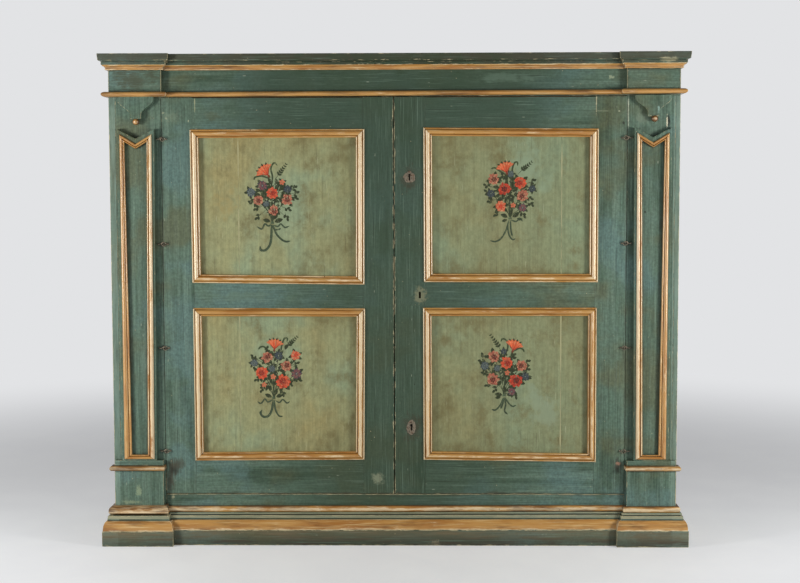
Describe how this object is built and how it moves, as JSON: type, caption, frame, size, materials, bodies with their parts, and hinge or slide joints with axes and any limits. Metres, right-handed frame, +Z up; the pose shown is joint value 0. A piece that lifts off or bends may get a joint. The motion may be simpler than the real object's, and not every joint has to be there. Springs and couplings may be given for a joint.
{
  "type": "painted two-door cupboard",
  "caption": "Broad painted wooden cupboard with framed doors, moulded panels, flat pilasters on pedestals, a straight stepped cornice and a low moulded base.",
  "frame": {"origin": "on the floor, under the middle of the cupboard's bounding box", "axes": "+Z up, the doors look towards -Y, +X to the viewer's right"},
  "size_m": [2.338, 0.597, 1.955],
  "materials": {
    "frame_paint": "worn matt blue-green paint on wood, streaked, chipped along the edges",
    "panel_paint": "aged sage-olive paint on board, mottled, with painted flower bunches",
    "gold_paint": "worn ochre-gold paint on mouldings with brown in the quirks",
    "raw_wood": "aged unpainted softwood",
    "iron": "hand-wrought blackened iron, a little rusty"
  },
  "bodies": {
    "case": {"left_side_board": "frame_paint", "right_side_board": "frame_paint", "bottom_board": "raw_wood", "top_board": "raw_wood", "back_panel": "raw_wood", "lower_shelf": "raw_wood", "upper_shelf": "raw_wood", "left_front_stile": "frame_paint", "right_front_stile": "frame_paint", "frieze_board": "frame_paint", "bottom_rail": "frame_paint", "cornice": "frame_paint", "string_moulding": "gold_paint", "base_moulding": "frame_paint", "left_pilaster": "frame_paint", "left_drop": "frame_paint", "left_pedestal": "frame_paint", "right_pilaster": "frame_paint", "right_drop": "frame_paint", "right_pedestal": "frame_paint", "left_case_eye_1": "iron", "left_case_eye_2": "iron", "left_case_eye_3": "iron", "left_case_eye_4": "iron", "right_case_eye_1": "iron", "right_case_eye_2": "iron", "right_case_eye_3": "iron", "right_case_eye_4": "iron"},
    "left_door": {"left_door_meeting_stile": "frame_paint", "left_door_hinge_stile": "frame_paint", "left_door_bottom_rail": "frame_paint", "left_door_middle_rail": "frame_paint", "left_door_top_rail": "frame_paint", "left_door_lower_panel": "panel_paint", "left_door_lower_moulding": "gold_paint", "left_door_upper_panel": "panel_paint", "left_door_upper_moulding": "gold_paint", "left_door_eye_1": "iron", "left_door_eye_2": "iron", "left_door_eye_3": "iron", "left_door_eye_4": "iron"},
    "right_door": {"right_door_meeting_stile": "frame_paint", "right_door_hinge_stile": "frame_paint", "right_door_bottom_rail": "frame_paint", "right_door_middle_rail": "frame_paint", "right_door_top_rail": "frame_paint", "right_door_lower_panel": "panel_paint", "right_door_lower_moulding": "gold_paint", "right_door_upper_panel": "panel_paint", "right_door_upper_moulding": "gold_paint", "right_door_eye_1": "iron", "right_door_eye_2": "iron", "right_door_eye_3": "iron", "right_door_eye_4": "iron", "upper_lock_case": "iron", "lower_lock_case": "iron"},
    "upper_lock_bolt": {"upper_lock_bolt": "iron"},
    "lower_lock_bolt": {"lower_lock_bolt": "iron"},
    "top_door_bolt": {"top_door_bolt": "iron"},
    "bottom_door_bolt": {"bottom_door_bolt": "iron"}
  },
  "joints": [
    {"name": "left_door_hinge", "type": "hinge", "parent": "case", "child": "left_door", "pos_m": [-0.92125, -0.2386, 0], "axis": [0, 0, -1], "range_deg": [0, 95]},
    {"name": "right_door_hinge", "type": "hinge", "parent": "case", "child": "right_door", "pos_m": [0.92125, -0.2386, 0], "axis": [0, 0, 1], "range_deg": [0, 95]},
    {"name": "upper_lock_throw", "type": "slide", "parent": "right_door", "child": "upper_lock_bolt", "axis": [-1, 0, 0], "range_m": [0, 0.016]},
    {"name": "lower_lock_throw", "type": "slide", "parent": "right_door", "child": "lower_lock_bolt", "axis": [-1, 0, 0], "range_m": [0, 0.016]},
    {"name": "top_bolt_throw", "type": "slide", "parent": "left_door", "child": "top_door_bolt", "axis": [0, 0, 1], "range_m": [0, 0.014]},
    {"name": "bottom_bolt_throw", "type": "slide", "parent": "left_door", "child": "bottom_door_bolt", "axis": [0, 0, -1], "range_m": [0, 0.014]}
  ]
}
